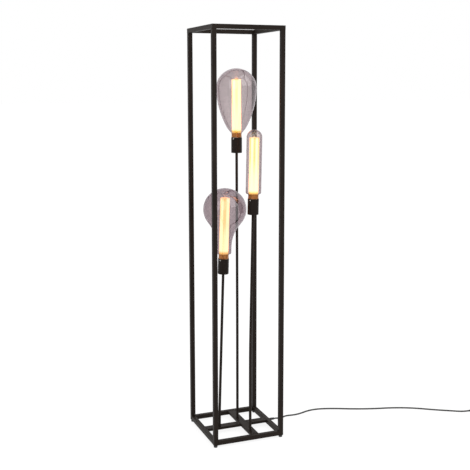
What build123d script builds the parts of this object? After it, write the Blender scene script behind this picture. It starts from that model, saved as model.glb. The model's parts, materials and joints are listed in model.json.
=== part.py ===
from build123d import *

import math
import os

# Wire cage floor lamp, in millimetres. +Z is up, the origin is on the floor under the
# middle of the cage, +X runs along the front of the cage to the side where the cord
# leaves it, and +Y runs to the back. Three smoked bulbs stand at three heights on thin
# arms inside a tall welded cage of square tube.

# ---- cage of square tube ----
cage_width = 272.0
cage_depth = 272.0
lamp_height = 1500.0
tube_side = 16.0
tube_wall = 1.2
tube_corner = 1.2

# ---- glides pushed into the open lower ends of the posts ----
glide_diameter = 14.0
glide_height = 8.0
glide_edge = 1.2
glide_stem = 18.0
glide_play = 0.1

# ---- flat cross bars of the base, their tops level with the rails ----
bar_width = 30.0
bar_height = 10.0
bar_wall = 1.5
long_bar_x = 28.5
short_bar_y = -4.0

# ---- arms: thin tubes welded onto the cross bars ----
arm_diameter = 10.0
arm_bore = 6.0
spigot_diameter = 8.0
spigot_length = 9.0
arm_inset = 7.0  # the two taller arms stand this far left of the long bar's middle
high_arm_y = 37.0
middle_arm_y = -92.0
low_arm_x = -69.0
low_arm_y = -10.0
lean_heading = -20.0  # degrees from +X, the way the arms lean

# ---- cup and lampholder ----
cup_diameter = 40.0
cup_height = 56.5
cup_wall = 1.2
cup_floor = 1.5
cup_edge = 2.0
locknut_flats = 13.0
locknut_height = 4.0
thread_play = 0.05
holder_play = 0.5  # between the lampholder and the cup's wall
holder_floor = 5.0
holder_drop = 1.5  # the lampholder ends this far below the cup's rim
chamber_diameter = 24.0
shell_wall = 0.4
shell_length = 30.0
shell_play = 0.3  # between the bulb's screw cap and the screw shell
contact_width = 6.0
contact_sheet = 0.5

# ---- bulb: screw cap, collar, light source and light guide ----
cap_diameter = 26.0
cap_length = 23.0
cap_sheet = 0.6
cap_cone = 2.5
insulator_height = 2.5
insulator_ledge = 1.0  # its width round the tip
tip_diameter = 10.0
tip_height = 1.5
bulb_gap = 1.5  # between the cup's rim and the collar
collar_diameter = 38.4
collar_height = 15.0
collar_flange = 2.2
collar_waist = 0.7
collar_wall = 1.2
collar_plate = 1.6
ledge_height = 8.0
ledge_width = 3.0
board_height = 1.6
board_play = 0.1
chip_size = 2.8
chip_height = 0.8
chip_count = 12
driver_width = 15.0
driver_length = 17.0
guide_diameter = 34.0
guide_wall = 3.0
groove_count = 16
groove_radius = 0.7
nipple_diameter = 7.0
nipple_height = 3.5
glass_wall = 1.2
neck_diameter = 39.0
foot_round = 5.0  # the rounded foot of the tube and the drop
foot_rise = 1.5
sleeve_radius = 28.0  # the straight sleeve under the drop's globe
sleeve_top = 24.0
flare_radius = 36.1  # a place halfway up the flare that leads from the sleeve to the globe
flare_height = 74.3
flare_angle = 69.5
globe_leave = 38.0  # degrees below its widest place where the globe turns into the flare
balloon_neck_angle = 43.5
flank_radius = 48.8  # a place on the balloon's lower flank
flank_height = 46.2
flank_angle = 66.6

# ---- wiring ----
wire_diameter = 4.0
wire_bend = 4.0
wire_hole = 5.0
splice_length = 22.0
splice_width = 14.0
splice_height = 6.4
splice_corner = 1.0
cord_diameter = 6.0
cord_play = 0.4  # round the cord where it passes through a wall of the frame
outlet_y = 2.0
tail_drop_run = 15.6  # over which the cord drops from the bar's middle to the rail's
gland_length = 22.0
gland_flange = 12.0
gland_flange_height = 2.0
gland_tip_wall = 0.7
gland_neck = 8.0
gland_barb = 9.6
gland_play = 0.05
gland_ribs = 3
gland_groove = 0.8
cord_stub = 13.0  # straight run before the cord's first bend and after its last

# ---- foot switch on the cord ----
switch_length = 76.0
switch_width = 34.0
switch_corner = 12.0
switch_base_height = 7.0
switch_height = 22.0
switch_edge = 4.0
switch_roof = 4.0
switch_x = 984.0
switch_y = -203.0
switch_turn = -12.0
button_diameter = 22.0
button_rise = 5.0
button_flange = 27.0
button_flange_height = 2.0
button_travel = 3.0
button_play = 0.3
button_stem = 4.0

# ---- plug ----
plug_length = 36.0
plug_width = 35.3
plug_thickness = 13.7
plug_rear_width = 13.0
plug_shoulder = 20.0
plug_corner = 2.5
plug_edge = 2.0
pin_diameter = 4.0
pin_length = 19.0
pin_spacing = 18.6
pin_tip = 1.2

# ---- coil of the spare cord ----
coil_x = 1050.0
coil_y = -110.0
coil_radius = 33.0  # at the middle of its turns
coil_gap = 0.7  # between one turn and the next
coil_layer_turns = 2.5
coil_turns = 4.972  # a little short of five, so that the tail leads away past the lead-in
coil_lead_in = 8.0
coil_lead_out = 8.0
coil_tail_run = 24.0  # over which the tail comes down to the plug
reverse_turns = 0.5  # the spiral reverses and climbs a layer over this much of a turn
gap_step = 2.5  # between the places where the turns' gap is measured

# Each arm and its bulb: where the arm stands, the height of the cup's underside, how far
# the arm leans, where it starts to lean and over what length, and the bulb's outline.
arms = {
    "high": dict(
        x=long_bar_x - arm_inset, y=high_arm_y, cup_z=1047.0,
        lean=-0.15, seat=300.0, bend=200.0,
        glass_height=235.5, glass_radius=74.0, widest=165.0, guide_top=269.0,
    ),
    "middle": dict(
        x=long_bar_x - arm_inset, y=middle_arm_y, cup_z=835.0,
        lean=1.07, seat=230.0, bend=150.0,
        glass_height=231.0, glass_radius=28.0, guide_top=275.0,
    ),
    "low": dict(
        x=low_arm_x, y=low_arm_y, cup_z=609.0,
        lean=1.65, seat=30.0, bend=40.0,
        glass_height=243.0, glass_radius=78.5, widest=166.0, guide_top=280.0,
    ),
}

# The cord's route from the gland to the foot switch, and on to the coil, on the floor.
floor_run = cord_diameter / 2
cord_route = [
    (182.0, 7.0, 11.0), (196.0, 17.0, 5.0), (211.0, 32.0, floor_run), (228.0, 39.0, floor_run),
    (250.0, 36.0, floor_run), (273.0, 35.5, floor_run), (298.0, 42.0, floor_run),
    (330.0, 54.0, floor_run), (374.0, 57.0, floor_run), (436.0, 38.0, floor_run),
    (506.0, 4.0, floor_run), (583.0, -24.0, floor_run), (662.0, -43.0, floor_run),
    (738.0, -76.0, floor_run), (806.0, -124.0, floor_run), (866.0, -160.0, floor_run),
    (893.0, -177.0, floor_run), (915.0, -186.5, 4.8),
]
lead_route = [
    (1052.0, -214.0, 4.6), (1070.0, -206.5, floor_run), (1083.0, -191.0, floor_run),
    (1091.0, -172.0, floor_run), (1094.0, -152.0, floor_run),
]

# ---- what follows from the sizes ----
half_width = cage_width / 2
half_depth = cage_depth / 2
inner_side = tube_side - 2 * tube_wall
base_top = glide_height + tube_side
bar_middle = base_top - bar_height / 2
outlet_z = glide_height + tube_side / 2
cord_radius = cord_diameter / 2
coil_pitch = cord_diameter + coil_gap
bulb_base = cup_height + bulb_gap
cap_bottom = bulb_base - cap_length
tip_bottom = cap_bottom - insulator_height - tip_height
board_top = bulb_base + ledge_height + board_height
glass_bottom = bulb_base + collar_height
holder_radius = cup_diameter / 2 - cup_wall - holder_play
holder_bottom = cup_floor + locknut_height
holder_top = cup_height - holder_drop
shell_radius = cap_diameter / 2 + shell_play
shell_seat = holder_top - shell_length
LOW = (Align.CENTER, Align.CENTER, Align.MIN)

parts = {}


def rod(radius, height, z=0.0):
    """An upright cylinder whose foot is at height z."""
    return Pos(0, 0, z) * Cylinder(radius, height, align=LOW)


def turned(points):
    """A solid turned about Z from a closed outline of (radius, height) points."""
    outline = make_face(Polyline([(r, 0, z) for r, z in points], close=True))
    return revolve(outline, Axis.Z)


def hollow_section(width, height, wall, corner):
    return RectangleRounded(width, height, corner) - Rectangle(width - 2 * wall, height - 2 * wall)


def quarter_turned(piece, quarter):
    return Rot(0, 0, 90 * quarter) * piece


def biarc(start, start_way, end, end_way):
    """Two arcs that leave start along start_way and reach end along end_way."""
    chord = end - start
    ways = start_way + end_way
    bend = 2 * (1 - start_way.dot(end_way))
    if bend < 1e-9:
        reach = chord.dot(chord) / (4 * chord.dot(end_way))
    else:
        reach = (math.sqrt(chord.dot(ways) ** 2 + bend * chord.dot(chord)) - chord.dot(ways)) / bend
    joint = (start + start_way * reach + end - end_way * reach) / 2
    arcs = []
    for first, apex, last in (
        (start, start + start_way * reach, joint), (joint, end - end_way * reach, end),
    ):
        turn = math.radians((apex - first).get_angle(last - apex))
        foot = (first + last) / 2
        if turn < 1e-4:
            arcs.append(Line(first, last))
            continue
        bulge = foot + (apex - foot) * (math.tan(turn / 4) / math.tan(turn / 2))
        arcs.append(ThreePointArc(first, bulge, last))
    return arcs


def slope(angle):
    """The direction at so many degrees above level."""
    return Vector(math.cos(math.radians(angle)), math.sin(math.radians(angle)), 0)


def smooth(*stations):
    """Tangent arcs through stations, each a radius, a height and degrees above level."""
    arcs = []
    for (r0, z0, angle0), (r1, z1, angle1) in zip(stations, stations[1:]):
        arcs += biarc(Vector(r0, z0), slope(angle0), Vector(r1, z1), slope(angle1))
    return arcs


# ---------------------------------------------------------------- cage
sides = {"front": 0, "right": 1, "back": 2, "left": 3}


def side_sizes(quarter):
    """A side's length and how far its outer face is from the middle."""
    if quarter % 2:
        return cage_depth, half_width
    return cage_width, half_depth


def tube_along_x(length):
    section = hollow_section(tube_side, tube_side, tube_wall, tube_corner)
    return Rot(0, 90, 0) * extrude(section, length / 2, both=True)


def top_rail(quarter):
    """One side of the top ring, mitred into its neighbours."""
    length, reach = side_sizes(quarter)
    low_z = lamp_height - tube_side
    rail = Pos(0, -reach + tube_side / 2, low_z + tube_side / 2) * tube_along_x(length)
    mitre = Polyline(
        (-length / 2, -reach), (length / 2, -reach),
        (length / 2 - tube_side, -reach + tube_side), (-length / 2 + tube_side, -reach + tube_side),
        close=True,
    )
    wedge = Pos(0, 0, low_z - tube_side / 2) * extrude(make_face(mitre), 2 * tube_side)
    return quarter_turned(rail & wedge, quarter)


def bottom_rail(quarter):
    length, reach = side_sizes(quarter)
    rail = tube_along_x(length - 2 * tube_side)
    place = Pos(0, -reach + tube_side / 2, glide_height + tube_side / 2)
    return quarter_turned(place * rail, quarter)


def post(x_side, y_side):
    section = hollow_section(tube_side, tube_side, tube_wall, tube_corner)
    x = x_side * (half_width - tube_side / 2)
    y = y_side * (half_depth - tube_side / 2)
    return Pos(x, y, glide_height) * extrude(section, lamp_height - tube_side - glide_height)


def glide():
    head = fillet(rod(glide_diameter / 2, glide_height).edges().sort_by(Axis.Z)[0], glide_edge)
    side = inner_side - 2 * glide_play
    stem = Pos(0, 0, glide_height) * Box(side, side, glide_stem, align=LOW)
    return head + chamfer(stem.faces().sort_by(Axis.Z)[-1].edges(), 2 * tube_wall)


def build_cage():
    for name, quarter in sides.items():
        parts[f"top_rail_{name}"] = top_rail(quarter)
        parts[f"bottom_rail_{name}"] = bottom_rail(quarter)
    corners = {
        "post_front_left": (-1, -1), "post_front_right": (1, -1),
        "post_back_left": (-1, 1), "post_back_right": (1, 1),
    }
    feet = []
    for name, (x_side, y_side) in corners.items():
        parts[name] = post(x_side, y_side)
        x = x_side * (half_width - tube_side / 2)
        y = y_side * (half_depth - tube_side / 2)
        feet.append(Pos(x, y, 0) * glide())
    parts["foot_glides"] = Compound(children=feet)
    outer_hole = Cylinder(gland_neck / 2 + gland_play, 2 * tube_wall)
    inner_hole = Cylinder(cord_radius + cord_play, 2 * tube_wall)
    parts["bottom_rail_right"] -= Pos(half_width, outlet_y, outlet_z) * (Rot(0, 90, 0) * outer_hole)
    parts["bottom_rail_right"] -= Pos(half_width - tube_side, outlet_y, bar_middle) * (
        Rot(0, 90, 0) * inner_hole
    )


# ---------------------------------------------------------------- cross bars
def flat_bar(length):
    """A flat tube along +X, its left end at the origin."""
    section = hollow_section(bar_height, bar_width, bar_wall, tube_corner)
    return Rot(0, 90, 0) * extrude(section, length)


def build_bars():
    inside = half_width - tube_side
    left_end = long_bar_x - bar_width / 2
    right_end = long_bar_x + bar_width / 2
    long_bar = Pos(long_bar_x, -half_depth + tube_side, bar_middle) * (
        Rot(0, 0, 90) * flat_bar(cage_depth - 2 * tube_side)
    )
    left_bar = Pos(-inside, short_bar_y, bar_middle) * flat_bar(left_end + inside)
    right_bar = Pos(right_end, short_bar_y, bar_middle) * flat_bar(inside - right_end)
    side_hole = Rot(0, 90, 0) * Cylinder(wire_hole / 2, 3 * bar_wall)
    cord_hole = Rot(0, 90, 0) * Cylinder(cord_radius + cord_play, 3 * bar_wall)
    long_bar -= Pos(left_end, low_arm_y, bar_middle) * side_hole
    long_bar -= Pos(right_end, outlet_y, bar_middle) * cord_hole
    for name in ("high", "middle"):
        long_bar -= Pos(arms[name]["x"], arms[name]["y"], bar_middle) * rod(wire_hole / 2, bar_height)
    left_bar -= Pos(low_arm_x, low_arm_y, bar_middle) * rod(wire_hole / 2, bar_height)
    parts["cross_bar_long"] = long_bar
    parts["cross_bar_left"] = left_bar
    parts["cross_bar_right"] = right_bar


# ---------------------------------------------------------------- arms
def arm_line(arm):
    """The arm's centreline as three edges, and the plane at its shoulder, Z along the arm."""
    heading = Vector(math.cos(math.radians(lean_heading)), math.sin(math.radians(lean_heading)), 0)
    up = Vector(0, 0, 1)
    lean = math.radians(arm["lean"])
    bend_radius = arm["bend"] / lean

    def on_bend(angle):
        return seat_top + heading * (bend_radius * (1 - math.cos(angle))) + up * (
            bend_radius * math.sin(angle)
        )

    foot = Vector(arm["x"], arm["y"], base_top)
    seat_top = foot + up * arm["seat"]
    bend_top = on_bend(lean)
    direction = heading * math.sin(lean) + up * math.cos(lean)
    shoulder = bend_top + direction * ((arm["cup_z"] - bend_top.Z) / math.cos(lean))
    across = heading * math.cos(lean) - up * math.sin(lean)
    edges = [
        Line(foot, seat_top),
        ThreePointArc(seat_top, on_bend(lean / 2), bend_top),
        Line(bend_top, shoulder),
    ]
    return edges, Plane(origin=shoulder, x_dir=across, z_dir=direction)


def arm_tube(arm):
    edges, top = arm_line(arm)
    ring = Circle(arm_diameter / 2) - Circle(arm_bore / 2)
    foot = Plane(origin=(arm["x"], arm["y"], base_top))
    tube = sweep(foot * ring, path=Wire(edges))
    spigot = rod(spigot_diameter / 2, spigot_length) - rod(arm_bore / 2, spigot_length)
    return tube + top * spigot


# ---------------------------------------------------------------- cup and lampholder
def cup():
    outside = rod(cup_diameter / 2, cup_height)
    outside = fillet(outside.edges().sort_by(Axis.Z)[0], cup_edge)
    inside = rod(cup_diameter / 2 - cup_wall, cup_height, cup_floor)
    return outside - inside - rod(spigot_diameter / 2 + thread_play, cup_floor)


def locknut():
    hexagon = RegularPolygon(locknut_flats / 2, 6, major_radius=False)
    blank = Pos(0, 0, cup_floor) * extrude(hexagon, locknut_height)
    return blank - rod(spigot_diameter / 2 + thread_play, cup_height)


def lampholder():
    """The insulating body that carries the screw shell above a contact chamber."""
    body = rod(holder_radius, holder_top - holder_bottom, holder_bottom)
    body -= rod(spigot_diameter / 2 + thread_play, cup_height)
    body -= rod(chamber_diameter / 2, cup_height, holder_bottom + holder_floor)
    return body - rod(shell_radius + shell_wall + thread_play, cup_height, shell_seat)


def screw_shell():
    return rod(shell_radius + shell_wall, shell_length, shell_seat) - rod(shell_radius, cup_height)


def centre_contact():
    """A bent leaf: its foot on the chamber's floor, its pad under the bulb's tip."""
    floor = holder_bottom + holder_floor
    stand = chamber_diameter / 2 - 2 * contact_sheet
    pad = tip_bottom - contact_sheet / 2
    half_pad = tip_diameter / 2
    foot_end = spigot_diameter / 2 + 2 * contact_sheet
    line = Polyline(
        (foot_end, 0, floor + contact_sheet / 2), (stand, 0, floor + contact_sheet / 2),
        (stand, 0, pad), (-half_pad, 0, pad),
    )
    section = Plane(origin=line @ 0, x_dir=(0, 1, 0), z_dir=(1, 0, 0)) * Rectangle(
        contact_width, contact_sheet
    )
    return sweep(section, path=line, transition=Transition.RIGHT)


# ---------------------------------------------------------------- bulb
def screw_cap():
    """The thin metal cap, coned in at its lower end round the insulator."""
    radius = cap_diameter / 2
    throat = radius - cap_cone
    return turned([
        (throat - 3 * cap_sheet, cap_bottom), (throat, cap_bottom), (radius, cap_bottom + cap_cone),
        (radius, bulb_base), (radius - cap_sheet, bulb_base),
        (radius - cap_sheet, cap_bottom + cap_cone + cap_sheet),
        (throat - 3 * cap_sheet, cap_bottom + cap_sheet),
    ])


def cap_end():
    """The insulator under the cap and the centre tip soldered into it."""
    low = cap_bottom - insulator_height
    insulator = turned([
        (0, low), (tip_diameter / 2 + insulator_ledge, low),
        (cap_diameter / 2 - cap_cone - cap_sheet, cap_bottom), (0, cap_bottom),
    ])
    return insulator + rod(tip_diameter / 2, tip_height, tip_bottom)


def collar():
    """A spool-shaped ring that carries the glass, the light source and the screw cap."""
    outer = collar_diameter / 2
    waist = outer - collar_waist
    inner = outer - collar_wall
    top = bulb_base + collar_height
    ledge = bulb_base + ledge_height
    step = collar_waist
    bore = cap_diameter / 2 - cap_sheet - collar_wall
    ledge_bore = inner - ledge_width
    return turned([
        (bore, bulb_base), (outer, bulb_base), (outer, bulb_base + collar_flange),
        (waist, bulb_base + collar_flange + step), (waist, top - collar_flange - step),
        (outer, top - collar_flange), (outer, top), (inner, top), (inner, ledge),
        (ledge_bore, ledge), (ledge_bore, bulb_base + collar_plate), (bore, bulb_base + collar_plate),
    ])


def led_module():
    """A round board with a ring of chips, and the driver board that hangs into the cap."""
    board_radius = collar_diameter / 2 - collar_wall - board_play
    module = rod(board_radius, board_height, bulb_base + ledge_height)
    chip = Pos(guide_diameter / 2 - guide_wall / 2, 0, board_top) * Box(
        guide_wall - 2 * board_play, chip_size, chip_height, align=LOW
    )
    for step in range(chip_count):
        module += Rot(0, 0, 360 / chip_count * step) * chip
    driver = Pos(0, 0, bulb_base + ledge_height - driver_length) * Box(
        driver_width, board_height, driver_length, align=LOW
    )
    return module + driver


def light_guide(arm):
    """A clear tube with engraved lines, closed at the top, that glows over its whole length."""
    radius = guide_diameter / 2
    foot = board_top + chip_height
    height = arm["guide_top"] - foot
    ring = Circle(radius)
    for step in range(groove_count):
        ring -= Rot(0, 0, 360 / groove_count * step) * (Pos(radius, 0) * Circle(groove_radius))
    guide = Pos(0, 0, foot) * extrude(ring, height)
    guide -= rod(radius - guide_wall, height - guide_wall, foot)
    nipple = rod(nipple_diameter / 2, nipple_height, foot + height)
    return guide + fillet(nipple.edges().sort_by(Axis.Z)[-1], nipple_diameter / 3)


def balloon_outline(arm):
    """Half outline of the balloon-shaped glass, widest in its upper third."""
    return smooth(
        (neck_diameter / 2, 0, balloon_neck_angle), (flank_radius, flank_height, flank_angle),
        (arm["glass_radius"], arm["widest"], 90), (0, arm["glass_height"], 180),
    )


def rounded_foot(sleeve):
    """The foot that the tube and the drop share: out from the neck, then round and up."""
    return [
        Line((neck_diameter / 2, 0), (sleeve - foot_round, foot_rise)),
        ThreePointArc(
            (sleeve - foot_round, foot_rise),
            (sleeve - 0.25 * foot_round, foot_rise + 0.35 * foot_round),
            (sleeve, foot_rise + foot_round),
        ),
    ]


def tube_outline(arm):
    """Half outline of the straight tubular glass with a round top."""
    r, top = arm["glass_radius"], arm["glass_height"]
    side = Line((r, foot_rise + foot_round), (r, top - r))
    return [*rounded_foot(r), side, CenterArc((0, top - r), r, 0, 90)]


def drop_outline(arm):
    """Half outline of the globe that narrows through a hollow curve into a straight sleeve."""
    r, widest = arm["glass_radius"], arm["widest"]
    globe = CenterArc((0, widest), r, -globe_leave, globe_leave)
    leave = globe @ 0
    side = Line((sleeve_radius, foot_rise + foot_round), (sleeve_radius, sleeve_top))
    flare = smooth(
        (sleeve_radius, sleeve_top, 90), (flare_radius, flare_height, flare_angle),
        (leave.X, leave.Y, 90 - globe_leave),
    )
    dome = smooth((r, widest, 90), (0, arm["glass_height"], 180))
    return [*rounded_foot(sleeve_radius), side, *flare, globe, *dome]


outlines = {"high": balloon_outline, "middle": tube_outline, "low": drop_outline}


def glass(arm, outline):
    """A blown envelope of even wall, open at the neck that stands on the collar."""
    height = arm["glass_height"]
    rim = Line((0, height), (0, 0))
    half = make_face(Wire([*outline, rim, Line((0, 0), (neck_diameter / 2, 0))]))
    inside = offset(half + mirror(half, about=Plane.YZ), amount=-glass_wall)
    reach = 2 * (height + arm["glass_radius"])
    inside &= Rectangle(reach, 2 * reach, align=(Align.MIN, Align.CENTER))
    envelope = revolve(Plane.XZ * half, Axis.Z) - revolve(Plane.XZ * inside, Axis.Z)
    envelope -= rod(neck_diameter / 2 - glass_wall, 4 * foot_round, -2 * foot_round)
    return Pos(0, 0, glass_bottom) * envelope


# ---------------------------------------------------------------- the three arms with their bulbs
def build_arms():
    locknuts, contacts = [], []
    for name, arm in arms.items():
        top = arm_line(arm)[1]
        pieces = {
            "socket_cup": cup(), "lampholder": lampholder(), "screw_shell": screw_shell(),
            "bulb_glass": glass(arm, outlines[name](arm)), "light_guide": light_guide(arm),
            "led_module": led_module(), "bulb_collar": collar(), "screw_cap": screw_cap(),
            "cap_end": cap_end(),
        }
        parts[f"arm_{name}"] = arm_tube(arm)
        for kind, piece in pieces.items():
            parts[f"{kind}_{name}"] = top * piece
        locknuts.append(top * locknut())
        contacts.append(top * centre_contact())
    parts["arm_locknuts"] = sum(locknuts[1:], locknuts[0])
    parts["centre_contacts"] = sum(contacts[1:], contacts[0])


# ---------------------------------------------------------------- wiring inside the frame
splice_x = long_bar_x - arm_inset + splice_width / 2 - wire_diameter / 2 - splice_corner
splice_y = (low_arm_y + outlet_y) / 2


def lamp_wire(arm, start):
    """A two-core wire from the splice along the bar, up through the arm into the lampholder."""
    edges, top = arm_line(arm)
    foot = Vector(arm["x"], arm["y"], bar_middle)
    start = Vector(*start, bar_middle)
    along = (foot - start).normalized()
    up = Vector(0, 0, 1)
    turn = foot - along * wire_bend + up * wire_bend
    corner = math.radians(45)
    middle = turn + along * (wire_bend * math.sin(corner)) - up * (wire_bend * math.cos(corner))
    end = top.origin + top.z_dir * (holder_bottom + holder_floor + thread_play)
    path = [
        Line(start, foot - along * wire_bend),
        ThreePointArc(foot - along * wire_bend, middle, foot + up * wire_bend),
        Line(foot + up * wire_bend, edges[0] @ 1),
        edges[1],
        Line(edges[2] @ 0, end),
    ]
    section = Plane(origin=start, z_dir=along) * Circle(wire_diameter / 2)
    return sweep(section, path=Wire(path))


def build_wiring():
    near, far = splice_y - splice_length / 2, splice_y + splice_length / 2
    tall_x = long_bar_x - arm_inset
    starts = {
        "high": (tall_x, far), "middle": (tall_x, near),
        "low": (splice_x - splice_width / 2, low_arm_y),
    }
    wires = [lamp_wire(arms[name], start) for name, start in starts.items()]
    parts["lamp_wires"] = sum(wires[1:], wires[0])
    splice = Box(splice_width, splice_length, splice_height)
    parts["wire_splice"] = Pos(splice_x, splice_y, bar_middle) * fillet(
        splice.edges().filter_by(Axis.Z), splice_corner
    )
    parts["cord_tail"] = cord_tail()
    parts["cord_gland"] = Pos(half_width, outlet_y, outlet_z) * (Rot(0, 90, 0) * gland())


def cord_tail():
    """The cord's end in the frame: level in the bar, then down to the middle of the rail."""
    outward = Vector(1, 0, 0)
    inner_end = Vector(splice_x + splice_width / 2, outlet_y, bar_middle)
    bend_end = Vector(half_width - 2 * tube_wall, outlet_y, outlet_z)
    bend_start = Vector(bend_end.X - tail_drop_run, outlet_y, bar_middle)
    path = [
        Line(inner_end, bend_start), *biarc(bend_start, outward, bend_end, outward),
        Line(bend_end, bend_end + outward * (2 * tube_wall + gland_length)),
    ]
    return sweep(Plane(origin=inner_end, z_dir=outward) * Circle(cord_radius), path=Wire(path))


def gland():
    """A rubber strain relief: barb behind the wall, flange before it, then a ribbed taper."""
    wide = gland_flange / 2 - gland_groove
    tip = cord_radius + gland_tip_wall + gland_groove
    taper = gland_length - gland_flange_height
    outline = [
        (cord_radius, -2 * tube_wall), (gland_barb / 2, -2 * tube_wall),
        (gland_barb / 2, -tube_wall), (gland_neck / 2, -tube_wall), (gland_neck / 2, 0),
        (gland_flange / 2, 0), (gland_flange / 2, gland_flange_height),
    ]
    step = taper / (2 * gland_ribs + 1)
    for rib in range(2 * gland_ribs + 1):
        radius = wide + (tip - wide) * rib / (2 * gland_ribs) - gland_groove * (rib % 2)
        outline += [
            (radius, gland_flange_height + rib * step),
            (radius, gland_flange_height + (rib + 1) * step),
        ]
    outline.append((cord_radius, gland_length))
    return turned(outline)


# ---------------------------------------------------------------- cord, switch, coil and plug
def corner_radii(points):
    """Each corner's radius: 0.45 of the shorter run over the tangent of half the turn."""
    radii = []
    for before, corner, after in zip(points, points[1:], points[2:]):
        turn = math.radians((corner - before).get_angle(after - corner))
        radii.append(0.45 * min((corner - before).length, (after - corner).length) / math.tan(turn / 2))
    return radii


def cord_tube(name, points):
    """A plain tube along straight runs joined by tangent arcs."""
    points = [Vector(*point) for point in points]
    radii = corner_radii(points)
    line = FilletPolyline(*points, radius=radii)
    section = Plane(origin=points[0], z_dir=points[1] - points[0]) * Circle(cord_radius)
    tube = sweep(section, path=line)
    share = tube.volume / (math.pi * cord_radius**2 * line.length)
    print(f"{name}: {line.length:.0f} mm long, volume {share:.4f} of section times length, radii",
          ", ".join(f"{radius:.0f}" for radius in radii))
    return tube


def coil_point(turn):
    """Where the cord's centre is after so many turns, and its direction there."""
    band = coil_pitch * coil_layer_turns
    past = turn - coil_layer_turns
    if abs(past) < reverse_turns / 2:
        steps, slope = past**2 / reverse_turns + reverse_turns / 4, 2 * past / reverse_turns
        share = past / reverse_turns + 0.5
        climb, climb_slope = share**2 * (3 - 2 * share), 6 * share * (1 - share) / reverse_turns
    else:
        steps, slope = abs(past), math.copysign(1, past)
        climb, climb_slope = float(past > 0), 0.0
    radius = coil_radius - band / 2 + coil_pitch * steps
    angle = 2 * math.pi * turn
    outward = Vector(math.cos(angle), math.sin(angle), 0)
    round_ = Vector(-math.sin(angle), math.cos(angle), 0)
    place = Vector(coil_x, coil_y, cord_radius + coil_pitch * climb) + outward * radius
    way = outward * (coil_pitch * slope) + round_ * (2 * math.pi * radius)
    return place, (way + Vector(0, 0, coil_pitch * climb_slope)).normalized()


def coil_line():
    """The coil's edges: a straight lead-in, quarter turns as biarcs, and a tail to the plug."""
    turns = [0.25 * step for step in range(math.ceil(4 * coil_turns))] + [coil_turns]
    stations = [coil_point(turn) for turn in turns]
    place, way = stations[0]
    edges = [Line(place - way * coil_lead_in, place)]
    for (start, start_way), (end, end_way) in zip(stations, stations[1:]):
        edges += biarc(start, start_way, end, end_way)
    place, way = stations[-1]
    flat = Vector(way.X, way.Y, 0).normalized()
    edge = place + flat * coil_lead_out
    low = Vector(edge.X, edge.Y, plug_thickness / 2) + flat * coil_tail_run
    return [*edges, Line(place, edge), *biarc(edge, flat, low, flat), Line(low, low + flat * cord_diameter)]


def least_gap(edges):
    """The smallest clear space between two turns, measured on points along the tube."""
    points, travelled = [], 0.0
    for edge in edges:
        count = max(2, round(edge.length / gap_step))
        points += [(travelled + edge.length * k / count, edge @ (k / count)) for k in range(count)]
        travelled += edge.length
    apart = min(
        (a - b).length
        for i, (s, a) in enumerate(points) for t, b in points[i + 1:] if t - s > coil_radius
    )
    return apart - cord_diameter


def build_coil():
    edges = coil_line()
    line = Wire(edges)
    section = Plane(origin=edges[0] @ 0, z_dir=edges[0] % 0) * Circle(cord_radius)
    parts["cord_coil"] = sweep(section, path=line)
    share = parts["cord_coil"].volume / (math.pi * cord_radius**2 * line.length)
    print(f"cord_coil: {line.length:.0f} mm long, volume {share:.4f} of section times length,"
          f" least gap {least_gap(edges):.2f} mm")
    return edges


def switch_place():
    return Pos(switch_x, switch_y, 0) * Rot(0, 0, switch_turn)


def build_switch():
    """A floor switch: base, cover with the button's bore, and a round button that travels."""
    roof = switch_height - switch_roof
    outline = RectangleRounded(switch_length, switch_width, switch_corner)
    base = extrude(outline, switch_base_height)
    base = chamfer(base.faces().sort_by(Axis.Z)[0].edges(), switch_edge / 4)
    rest = roof - button_flange_height - button_stem
    base += rod(button_diameter / 4, rest - button_travel - switch_base_height, switch_base_height)
    cover = Pos(0, 0, switch_base_height) * extrude(outline, switch_height - switch_base_height)
    cover = fillet(cover.faces().sort_by(Axis.Z)[-1].edges(), switch_edge)
    cover -= rod(button_flange / 2 + button_play, roof - switch_base_height, switch_base_height)
    cover -= rod(button_diameter / 2 + button_play, switch_roof, roof)
    crown = rod(button_diameter / 2, switch_roof + button_rise, roof)
    crown = fillet(crown.edges().sort_by(Axis.Z)[-1], button_rise / 2)
    flange = rod(button_flange / 2, button_flange_height, roof - button_flange_height)
    stem = rod(button_diameter / 4, roof - button_flange_height - rest, rest)
    place = switch_place()
    parts["foot_switch_base"] = place * base
    parts["foot_switch_cover"] = place * cover
    parts["foot_switch_button"] = place * (crown + flange + stem)


def build_cord(coil_start):
    """The free stretch to the switch and the one from the switch to the coil."""
    face = switch_length / 2
    before, entry, leave, after = (
        Vector((switch_place() * Pos(x, 0, switch_base_height)).position)
        for x in (-face - cord_stub, -face, face, face + cord_stub)
    )
    outlet = Vector(half_width + gland_length, outlet_y, outlet_z)
    parts["mains_cord"] = cord_tube(
        "mains_cord", [outlet, outlet + Vector(cord_stub, 0, 0), *cord_route, before, entry]
    )
    meet, way = coil_start
    parts["switch_lead"] = cord_tube(
        "switch_lead", [leave, after, *lead_route, meet - way * cord_stub, meet]
    )


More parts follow.
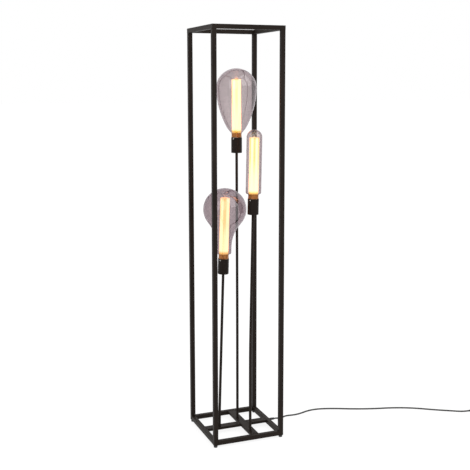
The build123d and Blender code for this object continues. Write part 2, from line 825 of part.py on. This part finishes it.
def build_plug(coil_end):
    """A flat two-pin plug: its body narrows to the cord, its pins stand out in front."""
    end, way = coil_end
    plane = Plane(origin=end, x_dir=way, z_dir=(0, 0, 1))
    half, rear = plug_width / 2, plug_rear_width / 2
    outline = make_face(Polyline(
        (0, -rear), (plug_shoulder, -half), (plug_length, -half),
        (plug_length, half), (plug_shoulder, half), (0, rear), close=True,
    ))
    body = extrude(outline, plug_thickness / 2, both=True)
    body = fillet(body.edges().filter_by(Axis.Z), plug_corner)
    levels = body.faces().sort_by(Axis.Z)
    body = fillet(levels[0].edges() + levels[-1].edges(), plug_edge)
    pin = fillet(rod(pin_diameter / 2, pin_length).edges().sort_by(Axis.Z)[-1], pin_tip)
    pins = [Pos(plug_length, side * pin_spacing / 2, 0) * (Rot(0, 90, 0) * pin) for side in (-1, 1)]
    parts["plug_body"] = plane * body
    parts["plug_pins"] = plane * (pins[0] + pins[1])


build_cage()
build_bars()
build_arms()
build_wiring()
build_switch()
coil_edges = build_coil()
build_cord((coil_edges[0] @ 0, coil_edges[0] % 0))
build_plug((coil_edges[-1] @ 1, coil_edges[-1] % 1))

os.makedirs("parts", exist_ok=True)
for name, part in parts.items():
    export_step(part, f"parts/{name}.step")
print(len(parts), "nodes")
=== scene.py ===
import json
import math

import bmesh
import bpy
from mathutils import Matrix, Vector


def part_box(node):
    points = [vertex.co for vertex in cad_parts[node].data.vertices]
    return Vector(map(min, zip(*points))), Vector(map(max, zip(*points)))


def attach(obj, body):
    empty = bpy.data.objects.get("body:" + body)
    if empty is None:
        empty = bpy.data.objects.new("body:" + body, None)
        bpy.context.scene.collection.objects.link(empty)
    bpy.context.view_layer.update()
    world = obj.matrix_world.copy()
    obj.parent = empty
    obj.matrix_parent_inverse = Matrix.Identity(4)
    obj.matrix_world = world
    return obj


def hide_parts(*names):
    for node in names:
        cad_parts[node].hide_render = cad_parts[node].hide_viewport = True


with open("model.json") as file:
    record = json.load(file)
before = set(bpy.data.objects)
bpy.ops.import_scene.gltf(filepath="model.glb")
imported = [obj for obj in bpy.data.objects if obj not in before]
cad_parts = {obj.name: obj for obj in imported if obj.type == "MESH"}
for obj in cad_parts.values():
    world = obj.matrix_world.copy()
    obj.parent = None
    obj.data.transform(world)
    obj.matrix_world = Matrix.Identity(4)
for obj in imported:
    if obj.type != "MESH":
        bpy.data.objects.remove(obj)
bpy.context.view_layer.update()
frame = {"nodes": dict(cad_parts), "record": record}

# Wire cage floor lamp, in metres: three smoked bulbs on thin arms in a tall cage of square
# tube. The construction comes packed in the frame. This script adds the camera, the cords with
# their sleeves, the screw threads, the cups' small screws, the weld beads, every material, the
# floor and the light.

scene = bpy.context.scene
MM = 0.001

# ---- camera, recovered from the corners of the cage ----
camera_place = (-1.11617, -2.85600, 1.29184)
camera_yaw = math.radians(21.3219)  # from +Y towards +X
camera_pitch = math.radians(-7.5022)
camera_roll = math.radians(-0.0996)
frame_px = 470
focal_px = 844.166
sensor_mm = 36.0
horizon_shift_px = -38.0

# ---- cords: the same route as the solids ----
cord_diameter = 6.0 * MM
cord_radius = cord_diameter / 2
outlet = (0.158, 0.002, 0.016)
cord_stub = 13.0 * MM
floor_run = cord_radius
cord_route = [
    (0.182, 0.007, 0.011), (0.196, 0.017, 0.005), (0.211, 0.032, floor_run), (0.228, 0.039, floor_run),
    (0.250, 0.036, floor_run), (0.273, 0.0355, floor_run), (0.298, 0.042, floor_run),
    (0.330, 0.054, floor_run), (0.374, 0.057, floor_run), (0.436, 0.038, floor_run),
    (0.506, 0.004, floor_run), (0.583, -0.024, floor_run), (0.662, -0.043, floor_run),
    (0.738, -0.076, floor_run), (0.806, -0.124, floor_run), (0.866, -0.160, floor_run),
    (0.893, -0.177, floor_run), (0.915, -0.1865, 0.0048),
]
lead_route = [
    (1.052, -0.214, 0.0046), (1.070, -0.2065, floor_run), (1.083, -0.191, floor_run),
    (1.091, -0.172, floor_run), (1.094, -0.152, floor_run),
]
switch_place = Vector((0.984, -0.203, 0.0))
switch_turn = math.radians(-12.0)
switch_length = 76.0 * MM
switch_split = 7.0 * MM

# ---- coil of the spare cord, by the same formula as its solid ----
coil_middle = Vector((1.050, -0.110, 0.0))
coil_radius = 33.0 * MM
coil_pitch = 6.7 * MM
coil_layer_turns = 2.5
coil_turns = 4.972
coil_corners = 24  # control points to a turn
coil_lead_in = 8.0 * MM
coil_lead_out = 8.0 * MM
coil_tail_run = 24.0 * MM
plug_thickness = 13.7 * MM

# ---- bulbs ----
BULBS = ("high", "middle", "low")
joints = {joint["name"]: joint for joint in frame["record"]["behaviour"]["joints"]}
bulb_joints = {name: joints[f"bulb_{name}_turn"] for name in BULBS}
guide_strength = 5.0
golden_direction = math.radians(-110.0)  # from +X, of the golden band at the cage's front

# ---- screw threads, with heights above the cup's underside ----
thread_pitch = 3.629 * MM
thread_depth = 0.9 * MM
thread_fade = 0.6 * thread_pitch  # height over which it runs out at either end
thread_step = 0.36 * MM
thread_sides = 72
cap_low = 37.5 * MM  # where the cap's cone ends and its thread starts
cap_top = 58.0 * MM
cap_radius = 13.0 * MM
cap_sheet = 0.5 * MM
cap_cone = 2.5 * MM
shell_low = 25.0 * MM
shell_top = 55.0 * MM
shell_radius = 13.7 * MM
shell_sheet = 0.35 * MM

# ---- small screw near each cup's rim ----
cup_radius = 20.0 * MM
screw_height = 52.5 * MM  # above the cup's underside
screw_direction = math.radians(-146.0)
screw_sides = 24
# in millimetres, from its socket's floor to its edge: its radius and how far it stands out
screw_outline = [(0.02, -0.1), (0.9, -0.1), (1.0, 0.5), (1.7, 0.7), (2.3, 0.35), (2.5, 0.0), (2.5, -0.8)]

# ---- sleeves on the cord ----
sleeve_length = 24.0 * MM
sleeve_wide = 4.6 * MM
sleeve_slim = 3.4 * MM
sleeve_step = 0.4 * MM
rib_pitch = 2.6 * MM
rib_depth = 0.45 * MM
rib_groove = -0.3  # the part of each rib's wave that lies below this is groove
ribbed_from, ribbed_to = 0.12, 0.92  # shares of the sleeve's length
floor_gap = 0.1 * MM

# ---- weld beads ----
bar_top = 24.0 * MM
arm_radius = 5.0 * MM
foot_margin = 0.5 * MM  # corners of an arm this near the bar's top belong to its foot
weld_radius = 1.1 * MM
weld_ripple = 2.2 * MM
weld_swell = 0.14  # share of the bead's radius that its ripples take
weld_step = 0.5 * MM
weld_end = 2.0 * MM
weld_sides = 10
weld_corners = 36  # round an arm

# ---- studio ----
floor_half = 60.0
floor_glow = 0.86  # of the floor where it is seen directly
sky_light = 0.75  # of the world where it only lights the lamp
sky_seen = 1.0


# ---------------------------------------------------------------- camera
def build_camera():
    forward = Vector((
        math.sin(camera_yaw) * math.cos(camera_pitch),
        math.cos(camera_yaw) * math.cos(camera_pitch), math.sin(camera_pitch),
    ))
    level = Vector((math.cos(camera_yaw), -math.sin(camera_yaw), 0))
    above = level.cross(forward)
    right = level * math.cos(camera_roll) + above * math.sin(camera_roll)
    up = above * math.cos(camera_roll) - level * math.sin(camera_roll)
    data = bpy.data.cameras.new("camera")
    data.sensor_width = sensor_mm
    data.lens = focal_px * sensor_mm / frame_px
    data.shift_y = horizon_shift_px / frame_px
    camera = bpy.data.objects.new("camera", data)
    turn = Matrix((right, up, -forward)).transposed().to_4x4()
    camera.matrix_world = Matrix.Translation(camera_place) @ turn
    scene.collection.objects.link(camera)
    scene.camera = camera


# ---------------------------------------------------------------- cords
def cord_curve(name, points):
    """A round cord whose line is one smooth spline."""
    curve = bpy.data.curves.new(name, "CURVE")
    curve.dimensions = "3D"
    spline = curve.splines.new("NURBS")
    spline.points.add(len(points) - 1)
    for point, place in zip(spline.points, points):
        point.co = (*place, 1.0)
    spline.order_u = 3
    spline.use_endpoint_u = True
    spline.resolution_u = 8
    curve.bevel_depth = cord_radius
    curve.bevel_resolution = 5
    curve.use_fill_caps = True
    piece = bpy.data.objects.new(name, curve)
    scene.collection.objects.link(piece)
    return piece


def line_of(piece):
    """The points of a cord's centreline."""
    bare = piece.data.copy()
    bare.bevel_depth = 0.0
    probe = bpy.data.objects.new("probe", bare)
    scene.collection.objects.link(probe)
    bpy.context.view_layer.update()
    mesh = bpy.data.meshes.new_from_object(probe)
    points = [vertex.co.copy() for vertex in mesh.vertices]
    bpy.data.objects.remove(probe)
    bpy.data.meshes.remove(mesh)
    bpy.data.curves.remove(bare)
    return points


def coil_radius_at(turn):
    past = abs(turn - coil_layer_turns)
    steps = 2 * past**2 + 0.125 if past < 0.25 else past
    return coil_radius + coil_pitch * (steps - coil_layer_turns / 2)


def coil_height_at(turn):
    share = min(max(2 * (turn - coil_layer_turns) + 0.5, 0.0), 1.0)
    return cord_radius + coil_pitch * share**2 * (3 - 2 * share)


def coil_place(turn, spread=1.0):
    angle = 2 * math.pi * turn
    out = Vector((math.cos(angle), math.sin(angle), 0)) * coil_radius_at(turn) * spread
    return coil_middle + out + Vector((0, 0, coil_height_at(turn)))


def coil_heading(turn):
    """The level direction of the cord at either end of the coil."""
    angle = 2 * math.pi * turn
    side = math.copysign(1, turn - coil_layer_turns)
    out = Vector((math.cos(angle), math.sin(angle), 0)) * coil_pitch * side
    onward = Vector((-math.sin(angle), math.cos(angle), 0))
    return (out + onward * 2 * math.pi * coil_radius_at(turn)).normalized()


def coil_points():
    """Control points at the corners of a polygon whose sides touch the turns."""
    spread = 1 / math.cos(math.pi / coil_corners)
    corners = int(coil_turns * coil_corners)
    inner = [coil_place((k + 0.5) / coil_corners, spread) for k in range(corners)]
    last, way = coil_place(coil_turns), coil_heading(coil_turns)
    edge = last + way * coil_lead_out
    low = edge + way * coil_tail_run
    low.z = plug_thickness / 2
    return [*inner, edge, low, low + way * cord_diameter]


def build_cords():
    heading = Vector((math.cos(switch_turn), math.sin(switch_turn), 0))
    centre = switch_place + Vector((0, 0, switch_split))
    entry = centre - heading * switch_length / 2
    leave = centre + heading * switch_length / 2
    first = Vector(outlet)
    mains = cord_curve("mains_cord_run", [
        first, first + Vector((cord_stub, 0, 0)), *cord_route, entry - heading * cord_stub, entry,
    ])
    start, way = coil_place(0.0), coil_heading(0.0)
    lead = cord_curve("plug_lead", [
        leave, leave + heading * cord_stub, *lead_route,
        start - way * (coil_lead_in + cord_stub), *coil_points(),
    ])
    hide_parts("mains_cord")
    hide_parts("switch_lead", "cord_coil")
    return mains, lead, leave


# ---------------------------------------------------------------- small pieces
def skin(name, rings, material, body, slot, closed=False):
    """A mesh over rings of points. If closed, the last ring joins the first, or else both are capped."""
    count = len(rings[0])
    corners = [point for ring in rings for point in ring]
    faces = []
    for row in range(len(rings) if closed else len(rings) - 1):
        here, there = row * count, (row + 1) % len(rings) * count
        for k in range(count):
            step = (k + 1) % count
            faces.append((here + k, here + step, there + step, there + k))
    if not closed:
        faces.append(tuple(reversed(range(count))))
        faces.append(tuple(range(len(corners) - count, len(corners))))
    mesh = bpy.data.meshes.new(name)
    mesh.from_pydata(corners, [], faces)
    work = bmesh.new()
    work.from_mesh(mesh)
    bmesh.ops.recalc_face_normals(work, faces=work.faces)
    work.to_mesh(mesh)
    work.free()
    for face in mesh.polygons:
        face.use_smooth = len(face.vertices) == 4
    piece = bpy.data.objects.new(name, mesh)
    scene.collection.objects.link(piece)
    mesh.materials.append(material)
    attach(piece, body)
    return piece


def bulb_place(bulb):
    """Carries a bulb's own frame, Z along its arm's axis, to the lamp's."""
    joint = bulb_joints[bulb]
    turn = Vector((0, 0, 1)).rotation_difference(Vector(joint["axis"])).to_matrix().to_4x4()
    return Matrix.Translation(joint["pos_m"]) @ turn


def around(count):
    """The cosine and sine of the corners of a round section."""
    return [(math.cos(2 * math.pi * k / count), math.sin(2 * math.pi * k / count)) for k in range(count)]


def rolled_sheet(name, bulb, low, high, crest, sheet, material, body, cone=0.0):
    """A thin metal sleeve with the round screw thread rolled into it, coned in below if it has a cone."""
    to_lamp = bulb_place(bulb)

    def ring(height, inset, threaded=True):
        fade = min(1.0, max(0.0, min(height - low, high - height) / thread_fade))
        points = []
        for k, (cosine, sine) in enumerate(around(thread_sides)):
            phase = 2 * math.pi * (height / thread_pitch - k / thread_sides)
            radius = crest + inset - fade * threaded * thread_depth * (1 - math.cos(phase)) / 2
            points.append(to_lamp @ Vector((radius * cosine, radius * sine, height)))
        return points

    rows = round((high - low) / thread_step)
    heights = [low + (high - low) * row / rows for row in range(rows + 1)]
    rings = [ring(height, 0.0) for height in heights]
    rings += [ring(height, -sheet) for height in reversed(heights)]
    if cone:
        throat = -cone - 3 * sheet
        rings += [ring(low - cone + sheet, throat, False), ring(low - cone, throat, False)]
        rings.append(ring(low - cone, -cone, False))
    return skin(name, rings, material, body, "plated_thread", closed=True)


def build_threads(material):
    for bulb in BULBS:
        cap = rolled_sheet(
            f"cap_thread_{bulb}", bulb, cap_low, cap_top, cap_radius, cap_sheet, material,
            f"bulb_{bulb}", cap_cone,
        )
        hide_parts(f"screw_cap_{bulb}")
        shell = rolled_sheet(
            f"shell_thread_{bulb}", bulb, shell_low, shell_top, shell_radius, shell_sheet, material,
            "frame",
        )
        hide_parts(f"screw_shell_{bulb}")


def build_cup_screws(material):
    """A small screw near each cup's rim, which locks the cup to its lampholder."""
    up = Vector((0, 0, 1))
    outward = Vector((math.cos(screw_direction), math.sin(screw_direction), 0))
    across = up.cross(outward)
    middle = outward * cup_radius + up * screw_height
    for bulb in BULBS:
        to_lamp = bulb_place(bulb)
        rings = [
            [to_lamp @ (middle + (outward * rise + (across * cosine + up * sine) * radius) * MM)
             for cosine, sine in around(screw_sides)]
            for radius, rise in screw_outline
        ]
        skin(f"cup_screw_{bulb}", rings, material, "frame", "bright_metal")


def sweep(name, line, radii, material, slot, sides=20, closed=False):
    """A round body along a line of points, with its radius at each of them."""
    rings = []
    for k, (here, radius) in enumerate(zip(line, radii)):
        before = line[k - 1] if k or closed else line[0]
        after = line[(k + 1) % len(line)] if closed or k + 1 < len(line) else line[-1]
        along = (after - before).normalized()
        side = along.cross(Vector((0, 0, 1))).normalized()
        above = side.cross(along)
        rings.append([here + (side * cosine + above * sine) * radius for cosine, sine in around(sides)])
    return skin(name, rings, material, "frame", slot, closed)


def from_there(line, run):
    """The rest of a line of points past a run along it."""
    k = 0
    while run > (line[k + 1] - line[k]).length:
        run -= (line[k + 1] - line[k]).length
        k += 1
    return [line[k] + (line[k + 1] - line[k]).normalized() * run, *line[k + 1:]]


def sleeve(name, line, material):
    """A ribbed, tapered strain relief round the first stretch of a line of points."""
    places, radii, run = [], [], 0.0
    while run <= sleeve_length:
        here = from_there(line, run)[0]
        share = run / sleeve_length
        radius = sleeve_wide * (1 - share) + sleeve_slim * share
        if ribbed_from < share < ribbed_to and math.sin(2 * math.pi * run / rib_pitch) < rib_groove:
            radius -= rib_depth
        places.append(here)
        radii.append(min(radius, here.z - floor_gap))
        run += sleeve_step
    return sweep(name, places, radii, material, "moulded_plug")


def weld(name, points, material, closed=False):
    """A small rippled bead along a joint."""
    line = []
    ends = points[1:] + points[:1] if closed else points[1:]
    for first, last in zip(points, ends):
        pieces = max(1, round((last - first).length / weld_step))
        line += [first.lerp(last, k / pieces) for k in range(pieces)]
    if not closed:
        line.append(points[-1])
    ripples = [abs(math.sin(math.pi * weld_step * k / weld_ripple)) for k in range(len(line))]
    radii = [weld_radius * (1 - weld_swell * (1 - ripple)) for ripple in ripples]
    return sweep(name, line, radii, material, "black_powder_coat", weld_sides, closed)


def arm_foot(bulb):
    """The middle of an arm where it stands on its bar."""
    low_end = [
        vertex.co for vertex in frame["nodes"][f"arm_{bulb}"].data.vertices
        if abs(vertex.co.z - bar_top) < foot_margin
    ]
    spans = [[corner[axis] for corner in low_end] for axis in (0, 1)]
    return Vector((*[(min(span) + max(span)) / 2 for span in spans], bar_top))


def build_welds(material):
    for bulb in BULBS:
        middle = arm_foot(bulb)
        ring = [middle + Vector((cosine, sine, 0)) * arm_radius for cosine, sine in around(weld_corners)]
        weld(f"arm_weld_{bulb}", ring, material, closed=True)
    low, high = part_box("cross_bar_long")
    for name, y in (("front", low[1]), ("back", high[1])):
        ends = [Vector((x, y, bar_top)) for x in (low[0] + weld_end, high[0] - weld_end)]
        weld(f"bar_weld_{name}", ends, material)
    for name, outer in (("left", 0), ("right", 1)):
        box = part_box(f"cross_bar_{name}")
        for joint, x in (("rail", box[outer][0]), ("middle", box[1 - outer][0])):
            ends = [Vector((x, y, bar_top)) for y in (box[0][1] + weld_end, box[1][1] - weld_end)]
            weld(f"bar_weld_{name}_{joint}", ends, material)


# ---------------------------------------------------------------- nodes of a material
def new_material(name):
    material = bpy.data.materials.new(name)
    material.use_nodes = True
    material.node_tree.nodes.clear()
    return material


def add(tree, kind, inputs=(), **settings):
    """A shader node with its settings, its inputs given as values or as other sockets."""
    node = tree.nodes.new("ShaderNode" + kind)
    for key, value in settings.items():
        setattr(node, key, value)
    for key, value in dict(inputs).items():
        if isinstance(value, bpy.types.NodeSocket):
            tree.links.new(value, node.inputs[key])
        else:
            node.inputs[key].default_value = value
    return node


def finish(tree, socket):
    tree.links.new(socket, add(tree, "OutputMaterial").inputs["Surface"])


def place(tree):
    return add(tree, "TexCoord").outputs["Object"]


def noise(tree, scale, detail=3.0, roughness=0.5, stretch=(1, 1, 1)):
    where = add(tree, "Mapping", {"Vector": place(tree), "Scale": stretch}).outputs[0]
    inputs = {"Vector": where, "Scale": scale, "Detail": detail, "Roughness": roughness}
    return add(tree, "TexNoise", inputs).outputs["Fac"]


def ramp(tree, factor, *stops):
    """Colours, each with its place from 0 to 1, blended by factor."""
    node = add(tree, "ValToRGB", {"Fac": factor})
    elements = node.color_ramp.elements
    while len(elements) < len(stops):
        elements.new(1.0)
    for element, (position, colour) in zip(elements, stops):
        element.position = position
        element.color = (*colour, 1.0) if len(colour) == 3 else colour
    return node.outputs["Color"]


def between(tree, factor, low, high):
    """factor, from 0 to 1, carried to the range from low to high."""
    inputs = {"Value": factor, "To Min": low, "To Max": high}
    return add(tree, "MapRange", inputs).outputs["Result"]


def math_node(tree, operation, a, b=0.0):
    return add(tree, "Math", {0: a, 1: b}, operation=operation).outputs[0]


def bump(tree, height, distance, strength=1.0, normal=None):
    inputs = {"Height": height, "Distance": distance, "Strength": strength}
    if normal is not None:
        inputs["Normal"] = normal
    return add(tree, "Bump", inputs).outputs["Normal"]


def principled(tree, **inputs):
    names = {key.replace("_", " ").title().replace("Ior", "IOR"): value for key, value in inputs.items()}
    return add(tree, "BsdfPrincipled", names).outputs["BSDF"]


# ---------------------------------------------------------------- materials
def powder_coat(name, dark, light, rough):
    """Fine-grained matt coating: orange peel, faint cloudiness and uneven gloss."""
    material = new_material(name)
    tree = material.node_tree
    grain = noise(tree, 2600, 2.0, 0.6)
    peel = noise(tree, 420, 2.0)
    cloud = noise(tree, 9, 3.0)
    colour = ramp(tree, cloud, (0.3, dark), (0.72, light))
    normal = bump(tree, grain, 0.00005, 0.8, bump(tree, peel, 0.00012, 0.6))
    finish(tree, principled(
        tree, base_color=colour, roughness=between(tree, peel, rough - 0.06, rough + 0.08),
        specular_ior_level=0.12, specular_tint=(1.0, 0.90, 0.83, 1), normal=normal,
    ))
    return material


def plastic(name, colour, rough, grain_scale=1800, grain_depth=0.00003):
    """Moulded plastic: an eroded grain and slightly uneven gloss."""
    material = new_material(name)
    tree = material.node_tree
    grain = noise(tree, grain_scale, 3.0, 0.6)
    cloud = noise(tree, 30, 2.0)
    pale = tuple(min(1.0, channel * 1.35 + 0.004) for channel in colour)
    finish(tree, principled(
        tree, base_color=ramp(tree, cloud, (0.3, colour), (0.75, pale)),
        roughness=between(tree, cloud, rough - 0.05, rough + 0.07),
        normal=bump(tree, grain, grain_depth, 0.7),
    ))
    return material


def metal(name, dark, light, rough, line_scale=0.0):
    """Plated or polished sheet: fine turned lines, faint stains and uneven polish."""
    material = new_material(name)
    tree = material.node_tree
    stain = noise(tree, 70, 4.0, 0.6)
    lines = noise(tree, line_scale or 1500, 2.0, 0.5, (0.02, 0.02, 1.0) if line_scale else (1, 1, 1))
    finish(tree, principled(
        tree, base_color=ramp(tree, stain, (0.3, dark), (0.7, light)), metallic=1.0,
        roughness=between(tree, stain, rough - 0.04, rough + 0.1),
        normal=bump(tree, lines, 0.00002, 0.5),
    ))
    return material


def rubber(name, colour, rough):
    """A cord's jacket: a dull skin with the faint lengthwise unevenness of extrusion."""
    material = new_material(name)
    tree = material.node_tree
    skin = noise(tree, 300, 3.0, 0.5)
    dust = noise(tree, 40, 3.0)
    pale = tuple(channel * 1.5 + 0.01 for channel in colour)
    finish(tree, principled(
        tree, base_color=ramp(tree, dust, (0.35, colour), (0.8, pale)),
        roughness=between(tree, skin, rough - 0.06, rough + 0.08),
        normal=bump(tree, skin, 0.00006, 0.5),
    ))
    return material


def smoked_glass(bulb, centre, middle, edge_tint):
    """Thin smoked glass: it tints what is behind it, most where it turns away, and mirrors."""
    material = new_material(f"smoked_glass_{bulb}")
    tree = material.node_tree
    facing = add(tree, "LayerWeight", {"Blend": 0.5}).outputs["Facing"]
    streak = noise(tree, 14, 2.0, 0.5, (1, 1, 0.35))
    edge = math_node(tree, "POWER", facing, 2.2)
    uneven = math_node(tree, "ADD", edge, between(tree, streak, -0.03, 0.03))
    tint = ramp(tree, uneven, (0.0, centre), (0.55, middle), (1.0, edge_tint))
    mirror = math_node(tree, "POWER", facing, 5.0)
    share = between(tree, mirror, 0.075, 0.75)
    see = add(tree, "BsdfTransparent", {"Color": tint}).outputs[0]
    shine = add(tree, "BsdfGlossy", {"Color": (1, 0.97, 0.98, 1), "Roughness": 0.03}).outputs[0]
    finish(tree, add(tree, "MixShader", {0: share, 1: see, 2: shine}).outputs[0])
    return material


def blend_colours(tree, factor, first, second, blend_type="MIX"):
    inputs = {0: factor, 6: first, 7: second}
    return add(tree, "Mix", inputs, data_type="RGBA", blend_type=blend_type).outputs[2]


def glowing_guide(bulb, bands, contrast):
    """The lit light guide: bright bands with golden ones between them, and amber at its foot."""
    material = new_material(f"glowing_guide_{bulb}")
    tree = material.node_tree
    joint = bulb_joints[bulb]
    turn = Vector((0, 0, 1)).rotation_difference(Vector(joint["axis"])).to_euler()
    inputs = {"Vector": place(tree), "Location": tuple(joint["pos_m"]), "Rotation": tuple(turn)}
    own = add(tree, "Mapping", inputs, vector_type="TEXTURE").outputs[0]
    parts = add(tree, "SeparateXYZ", {0: own}).outputs
    low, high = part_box(f"light_guide_{bulb}")
    floor_height = joint["pos_m"][2]
    inputs = {"Value": parts["Z"], "From Min": low[2] - floor_height, "From Max": high[2] - floor_height}
    rise = add(tree, "MapRange", inputs).outputs["Result"]
    angle = math_node(tree, "ARCTAN2", parts["Y"], parts["X"])
    offset = math_node(tree, "SUBTRACT", angle, golden_direction)
    wave = math_node(tree, "COSINE", math_node(tree, "MULTIPLY", offset, bands))
    golden = add(tree, "MapRange", {"Value": wave, "From Min": -0.5, "From Max": 0.7}).outputs["Result"]
    depth = ramp(tree, rise, (0.04, (0.1, 0.1, 0.1)), (0.35, (0.35, 0.35, 0.35)), (0.6, (1, 1, 1)))
    share = math_node(tree, "MULTIPLY", math_node(tree, "MULTIPLY", golden, depth), contrast)
    lit = blend_colours(tree, share, (1.0, 0.48, 0.25, 1), (0.36, 0.27, 0.075, 1))
    foot = ramp(tree, rise, (0.025, (0.20, 0.20, 0.02)), (0.05, (0.36, 0.43, 0.07)), (0.09, (1, 1, 1)),
                (0.95, (1, 1, 1)), (1.0, (0.6, 0.5, 0.4)))
    flicker = ramp(tree, noise(tree, 60, 3.0, 0.6, (1, 1, 0.12)), (0.3, (0.90, 0.88, 0.85)),
                   (0.7, (1, 1, 1)))
    glow = blend_colours(tree, 1.0, blend_colours(tree, 1.0, lit, foot, "MULTIPLY"), flicker, "MULTIPLY")
    finish(tree, principled(
        tree, base_color=(0.20, 0.15, 0.08, 1), roughness=0.2, emission_color=glow,
        emission_strength=guide_strength,
    ))
    return material


def circuit_board():
    material = new_material("circuit_board")
    tree = material.node_tree
    patch = noise(tree, 500, 2.0)
    # Painted light: the whole pale board glows a faint amber, standing in for its LEDs' light falling on
    # it.
    finish(tree, principled(
        tree, base_color=ramp(tree, patch, (0.4, (0.75, 0.72, 0.65)), (0.6, (0.85, 0.82, 0.76))),
        roughness=0.45, emission_color=(1.0, 0.45, 0.1, 1), emission_strength=0.8,
    ))
    return material


# ---------------------------------------------------------------- dressing the frame
def dress(material, *starts):
    """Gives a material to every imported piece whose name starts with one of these."""
    for name, piece in frame["nodes"].items():
        if name.startswith(starts):
            piece.data.materials.clear()
            piece.data.materials.append(material)


def build_materials():
    coat = powder_coat("black_powder_coat", (0.0125, 0.0090, 0.0073), (0.0195, 0.0145, 0.0120), 0.50)
    cup_coat = powder_coat("black_cup_coat", (0.0085, 0.0058, 0.0046), (0.0130, 0.0092, 0.0076), 0.42)
    dress(coat, "post_", "top_rail_", "bottom_rail_", "cross_bar_", "arm_high", "arm_middle", "arm_low")
    dress(cup_coat, "socket_cup_")
    dress(plastic("glide_plastic", (0.012, 0.012, 0.012), 0.5), "foot_glides")
    dress(plastic("holder_plastic", (0.015, 0.014, 0.014), 0.42), "lampholder_")
    nickel = metal("nickel_plate", (0.42, 0.40, 0.37), (0.62, 0.60, 0.56), 0.28)
    dress(nickel, "screw_", "plug_pins", "arm_locknuts", "centre_contacts")
    dress(plastic("insulator_glass", (0.010, 0.010, 0.014), 0.12), "cap_end_")
    dress(metal("copper_collar", (0.27, 0.10, 0.03), (0.41, 0.17, 0.06), 0.24, 2600), "bulb_collar_")
    dress(circuit_board(), "led_module_")
    tints = {
        "high": ((0.797, 0.760, 0.763), (0.70, 0.645, 0.66), (0.49, 0.42, 0.46)),
        "middle": ((0.835, 0.795, 0.795), (0.66, 0.600, 0.615), (0.43, 0.36, 0.40)),
        "low": ((0.735, 0.685, 0.697), (0.64, 0.575, 0.605), (0.45, 0.375, 0.42)),
    }
    for name, colours in tints.items():
        dress(smoked_glass(name, *colours), f"bulb_glass_{name}")
    for name, bands, contrast in (("high", 5, 0.55), ("middle", 6, 1.0), ("low", 4, 0.9)):
        dress(glowing_guide(name, bands, contrast), f"light_guide_{name}")
    jacket = rubber("cord_jacket", (0.020, 0.019, 0.018), 0.48)
    dress(jacket, "lamp_wires", "cord_tail")
    moulded = plastic("moulded_rubber", (0.016, 0.015, 0.015), 0.55)
    dress(moulded, "cord_gland", "wire_splice", "plug_body")
    dress(plastic("switch_plastic", (0.017, 0.016, 0.016), 0.36), "foot_switch_base", "foot_switch_cover")
    dress(plastic("button_plastic", (0.030, 0.029, 0.028), 0.22, 900, 0.00001), "foot_switch_button")
    return jacket, coat, nickel, moulded


# ---------------------------------------------------------------- floor, world and lamps
def seen_directly(tree):
    """1 for rays that see the white studio itself: from the camera, off gloss or through glass."""
    path = add(tree, "LightPath")
    first = math_node(tree, "MAXIMUM", path.outputs["Is Camera Ray"], path.outputs["Is Glossy Ray"])
    return math_node(tree, "MAXIMUM", first, path.outputs["Is Transmission Ray"])


def build_studio():
    world = bpy.data.worlds.new("studio")
    world.use_nodes = True
    tree = world.node_tree
    tree.nodes.clear()
    light = add(tree, "Background", {"Color": (1, 1, 1, 1), "Strength": sky_light}).outputs[0]
    white = add(tree, "Background", {"Color": (1, 1, 1, 1), "Strength": sky_seen}).outputs[0]
    sky = add(tree, "MixShader", {0: seen_directly(tree), 1: light, 2: white}).outputs[0]
    tree.links.new(sky, add(tree, "OutputWorld").inputs["Surface"])
    scene.world = world

    mesh = bpy.data.meshes.new("floor")
    corners = [(x * floor_half, y * floor_half, 0) for x, y in ((-1, -1), (1, -1), (1, 1), (-1, 1))]
    mesh.from_pydata(corners, [], [(0, 1, 2, 3)])
    floor = bpy.data.objects.new("floor", mesh)
    scene.collection.objects.link(floor)
    material = new_material("studio_floor")
    tree = material.node_tree
    shadowed = add(tree, "BsdfDiffuse", {"Color": (0.22, 0.22, 0.22, 1)}).outputs[0]
    glow = add(tree, "Emission", {"Color": (1, 1, 1, 1), "Strength": floor_glow}).outputs[0]
    seen = add(tree, "AddShader", {0: shadowed, 1: glow}).outputs[0]
    plain = add(tree, "BsdfDiffuse", {"Color": (0.7, 0.7, 0.7, 1)}).outputs[0]
    finish(tree, add(tree, "MixShader", {0: seen_directly(tree), 1: plain, 2: seen}).outputs[0])
    mesh.materials.append(material)


def lamp(name, where, towards, width, height, power):
    data = bpy.data.lights.new(name, "AREA")
    data.shape = "RECTANGLE"
    data.size = width
    data.size_y = height
    data.energy = power
    piece = bpy.data.objects.new(name, data)
    piece.location = where
    piece.rotation_euler = (Vector(towards) - Vector(where)).to_track_quat("-Z", "Y").to_euler()
    scene.collection.objects.link(piece)


def build_lamps():
    middle = (0.0, 0.0, 0.75)
    lamp("key_light", (-2.2, -2.6, 2.6), middle, 3.4, 3.4, 30)
    lamp("right_light", (1.9, -2.0, 3.6), (0.0, 0.0, 1.4), 4.0, 4.0, 50)


build_camera()
mains, lead, leave = build_cords()
jacket, coat, nickel, moulded = build_materials()
mains.data.materials.append(jacket)
lead.data.materials.append(jacket)
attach(mains, "frame")
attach(lead, "frame")
mains_line, lead_line = line_of(mains), line_of(lead)
switch_sleeve_in = sleeve("switch_sleeve_in", mains_line[::-1], moulded)
switch_sleeve_out = sleeve("switch_sleeve_out", lead_line, moulded)
plug_sleeve = sleeve("plug_sleeve", from_there(lead_line[::-1], cord_diameter), moulded)
build_threads(nickel)
build_cup_screws(nickel)
build_welds(coat)
build_studio()
build_lamps()

scene.view_settings.view_transform = "Standard"
